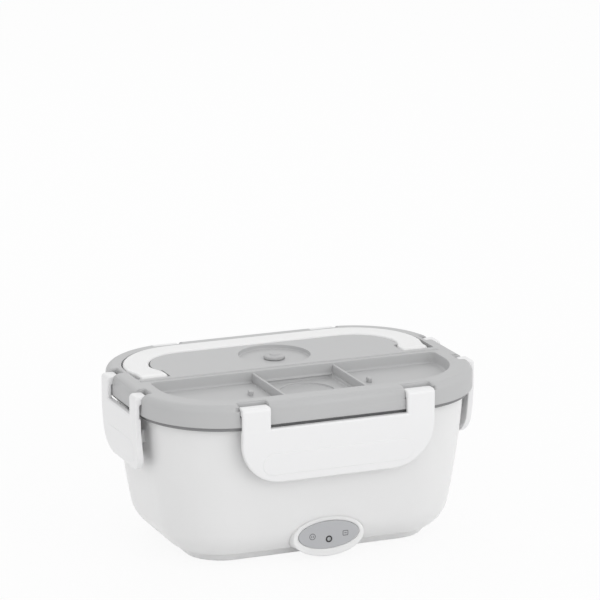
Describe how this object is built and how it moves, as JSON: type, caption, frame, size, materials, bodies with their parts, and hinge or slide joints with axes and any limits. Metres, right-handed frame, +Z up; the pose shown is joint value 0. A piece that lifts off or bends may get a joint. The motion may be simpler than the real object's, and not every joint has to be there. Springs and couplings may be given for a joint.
{
  "type": "electric lunch box",
  "caption": "Electric lunch box: white heated base, lift-out steel tray, translucent side-dish container and grey clip-down lid with latches, carry handle, vent and cutlery recess.",
  "frame": {"origin": "middle of the footprint, on the table under the rubber feet", "axes": "+Z up; -Y is the front with the oval indicator panel; +X to the right along the length, seen from the front"},
  "size_m": [0.2354, 0.1694, 0.1136],
  "materials": {
    "casing": "satin white moulding",
    "deck": "matte heat-resistant white moulding",
    "feet": "dull",
    "fastener": "plated steel",
    "plate": "satin",
    "ceramic": "fired ceramic",
    "insulation": "pressed fibre",
    "lead": "silicone sleeve",
    "board": "solder mask",
    "lens": "frosted",
    "black_plastic": "satin black moulding",
    "panel": "satin grey",
    "socket": "matte black moulding",
    "contact": "bright plated",
    "tray": "satin stainless steel",
    "container": "translucent white moulding",
    "container_lid": "translucent white moulding",
    "lid": "satin mid-grey moulding",
    "liner": "satin darker grey moulding",
    "seal": "silicone",
    "handle": "satin white moulding",
    "latch": "semi-gloss white moulding",
    "vent": "soft grey silicone"
  },
  "bodies": {
    "base": {"base_shell": "casing", "bottom_cover": "casing", "rubber_feet": "feet", "cover_screws": "fastener", "heater_deck": "deck", "heating_plate": "plate", "ptc_heaters": "ceramic", "heater_clamp": "plate", "clamp_screws": "fastener", "insulation_pad": "insulation", "thermostat": "black_plastic", "thermal_fuse": "ceramic", "wire_leads": "lead", "indicator_board": "board", "board_screws": "fastener", "indicator_led": "lens", "indicator_bezel": "black_plastic", "panel_plate": "panel", "inlet_socket": "socket", "inlet_pins": "contact"},
    "tray": {"steel_tray": "tray"},
    "cup": {"container_cup": "container"},
    "cup_lid": {"container_lid": "container_lid"},
    "lid": {"lid_shell": "lid", "lid_liner": "liner", "lid_seal": "seal", "latch_pins": "fastener", "handle_pins": "fastener"},
    "handle": {"carry_handle": "handle"},
    "front_latch": {"front_latch": "latch"},
    "rear_latch": {"rear_latch": "latch"},
    "left_latch": {"left_latch": "latch"},
    "right_latch": {"right_latch": "latch"},
    "vent": {"vent_plug": "vent"}
  },
  "joints": [
    {"name": "tray_lift", "type": "slide", "parent": "base", "child": "tray", "axis": [0, 0, 1], "range_m": [0, 0.077]},
    {"name": "container_lift", "type": "slide", "parent": "tray", "child": "cup", "axis": [0, 0, 1], "range_m": [0, 0.08]},
    {"name": "container_lid_lift", "type": "slide", "parent": "cup", "child": "cup_lid", "axis": [0, 0, -1], "range_m": [-0.009, 0]},
    {"name": "lid_lift", "type": "slide", "parent": "cup", "child": "lid", "axis": [0, 0, 1], "range_m": [0, 0.042]},
    {"name": "front_latch_hinge", "type": "hinge", "parent": "lid", "child": "front_latch", "pos_m": [0, -0.0778, 0.108], "axis": [1, 0, 0], "range_deg": [-100, 0]},
    {"name": "rear_latch_hinge", "type": "hinge", "parent": "lid", "child": "rear_latch", "pos_m": [0, 0.0778, 0.108], "axis": [-1, 0, 0], "range_deg": [-100, 0]},
    {"name": "left_latch_hinge", "type": "hinge", "parent": "lid", "child": "left_latch", "pos_m": [-0.1108, 0, 0.108], "axis": [0, -1, 0], "range_deg": [-100, 0]},
    {"name": "right_latch_hinge", "type": "hinge", "parent": "lid", "child": "right_latch", "pos_m": [0.1108, 0, 0.108], "axis": [0, 1, 0], "range_deg": [-100, 0]},
    {"name": "handle_swing", "type": "hinge", "parent": "lid", "child": "handle", "pos_m": [0, 0.006, 0.1096], "axis": [-1, 0, 0], "range_deg": [-95, 0]},
    {"name": "vent_lift", "type": "slide", "parent": "lid", "child": "vent", "axis": [0, 0, -1], "range_m": [-0.008, 0]}
  ]
}
